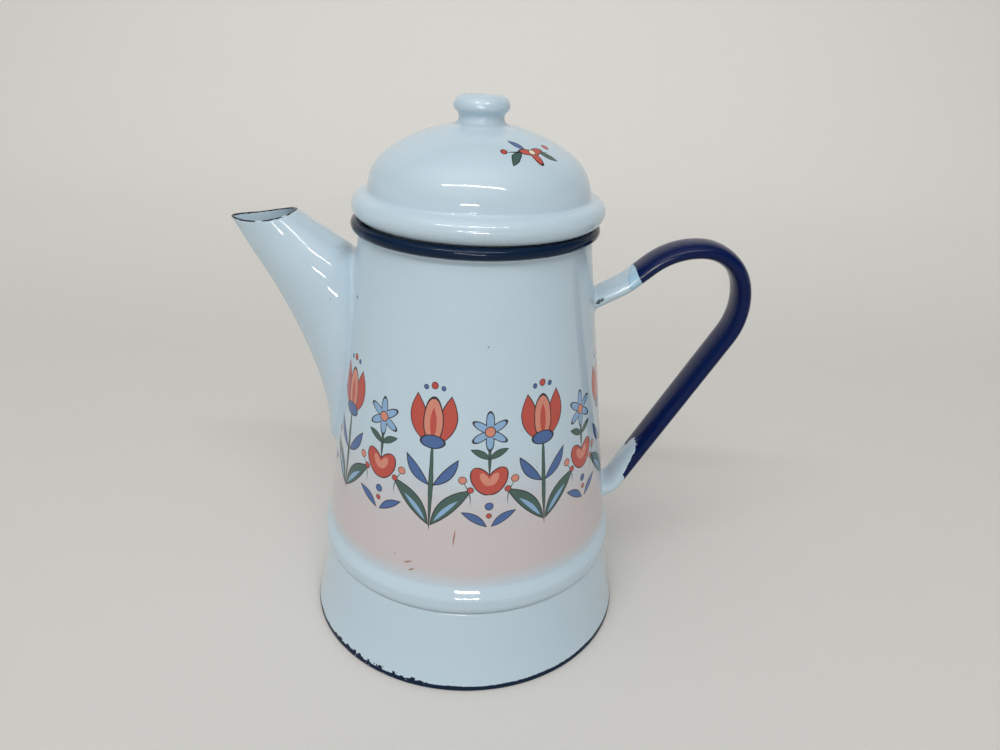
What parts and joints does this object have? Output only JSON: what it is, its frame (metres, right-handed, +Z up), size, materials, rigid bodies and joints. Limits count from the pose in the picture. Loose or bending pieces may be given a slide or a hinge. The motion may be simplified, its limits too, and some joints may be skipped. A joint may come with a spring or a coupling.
{
  "type": "coffee pot",
  "caption": "Enamelled steel coffee pot with a conical body, a tapering beak spout, a bent strap handle and a loose domed lid with a knob.",
  "frame": {"origin": "centre of the foot ring, on the surface that the pot stands on", "axes": "+Z up along the pot's axis, +X towards the handle, -X towards the spout, +Y across"},
  "size_m": [0.2147, 0.144, 0.2297],
  "materials": {
    "white_enamel": "glossy vitreous enamel on sheet steel, cool white, with small chips and pinholes",
    "navy_enamel": "glossy dark navy vitreous enamel on sheet steel"
  },
  "bodies": {
    "pot": {"body_shell": "white_enamel", "base_skirt": "white_enamel", "bottom_pan": "white_enamel", "spout": "white_enamel", "handle": "navy_enamel"},
    "lid": {"lid_dome": "white_enamel", "lid_knob": "white_enamel"}
  },
  "joints": [
    {"name": "lid_lift", "type": "slide", "parent": "pot", "child": "lid", "axis": [0, 0, 1], "range_m": [0, 0.04]}
  ]
}
